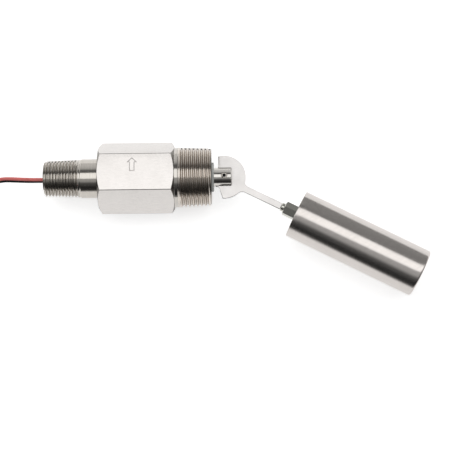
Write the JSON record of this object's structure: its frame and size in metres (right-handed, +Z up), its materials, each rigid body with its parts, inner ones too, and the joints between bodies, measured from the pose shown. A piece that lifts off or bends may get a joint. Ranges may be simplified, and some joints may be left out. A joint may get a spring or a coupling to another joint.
{
  "type": "float level switch",
  "caption": "Side-mounted float level switch: hexagon body with pipe threads at both ends, hinged arm with a cylindrical float, magnet lever and snap switch inside, wire leads",
  "frame": {"origin": "on the body's axis at the hexagon's shoulder on the process side, where the process thread starts", "axes": "+X along the axis towards the tank and the float, +Z up as the engraved arrow points, arm swings about Y"},
  "size_m": [0.2709, 0.035, 0.0873],
  "materials": {
    "body_steel": "turned stainless bar with fine file scratches on the flats",
    "nipple_steel": "turned stainless",
    "collar_grey": "dull bluish grey",
    "stem_steel": "bright turned stainless",
    "pin_steel": "rolled spring steel",
    "plate_steel": "pale stamped stainless sheet",
    "fitting_steel": "bright stainless",
    "float_steel": "satin drawn stainless",
    "seal_rubber": "black seal rubber",
    "potting": "black epoxy, slightly domed at the wires",
    "liner": "amber insulating sleeve",
    "frame_steel": "plated sheet",
    "small_steel": "plated small parts",
    "magnet": "sintered magnet",
    "switch_plastic": "black moulded switch case",
    "button_plastic": "red moulded button",
    "terminal_brass": "brass blades",
    "red_insulation": "red lead insulation",
    "black_insulation": "black lead insulation",
    "tie_nylon": "natural nylon cable tie"
  },
  "bodies": {
    "root": {"hex_body": "body_steel", "conduit_nipple": "nipple_steel", "seal_ring": "seal_rubber", "potting_plug": "potting", "chamber_liner": "liner", "collar": "collar_grey", "pivot_stem": "stem_steel", "pivot_pin": "pin_steel", "pivot_washers": "small_steel", "lever_pin": "small_steel", "lever_clip": "small_steel", "switch_case": "switch_plastic", "switch_screws": "small_steel", "switch_frame": "frame_steel", "frame_screws": "small_steel", "switch_terminals": "terminal_brass", "red_inner_lead": "red_insulation", "black_inner_lead": "black_insulation", "red_lead": "red_insulation", "red_lead_coil": "red_insulation", "black_lead": "black_insulation", "black_lead_coil": "black_insulation", "lead_tie": "tie_nylon"},
    "float_arm": {"arm_plate": "plate_steel", "arm_socket": "fitting_steel", "lock_nut": "fitting_steel", "float_shell": "float_steel", "float_cap": "float_steel"},
    "magnet_lever_body": {"magnet_lever": "frame_steel", "lever_magnet": "magnet"},
    "button_body": {"switch_button": "button_plastic"}
  },
  "joints": [
    {"name": "float_swing", "type": "hinge", "parent": "root", "child": "float_arm", "pos_m": [0.02725, 0, 0], "axis": [0, -1, 0], "range_deg": [0, 13]},
    {"name": "lever_swing", "type": "hinge", "parent": "root", "child": "magnet_lever_body", "pos_m": [0.0099, 0, -0.0065], "axis": [0, 1, 0], "range_deg": [0, 7.85]},
    {"name": "button_press", "type": "slide", "parent": "root", "child": "button_body", "axis": [0, 0, 1], "range_m": [0, 0.001]}
  ],
  "couplings": [
    {"joint": "lever_swing", "follows": "float_swing", "ratio": 0.6},
    {"joint": "button_press", "follows": "float_swing", "m_per_rad": 0.0044}
  ]
}
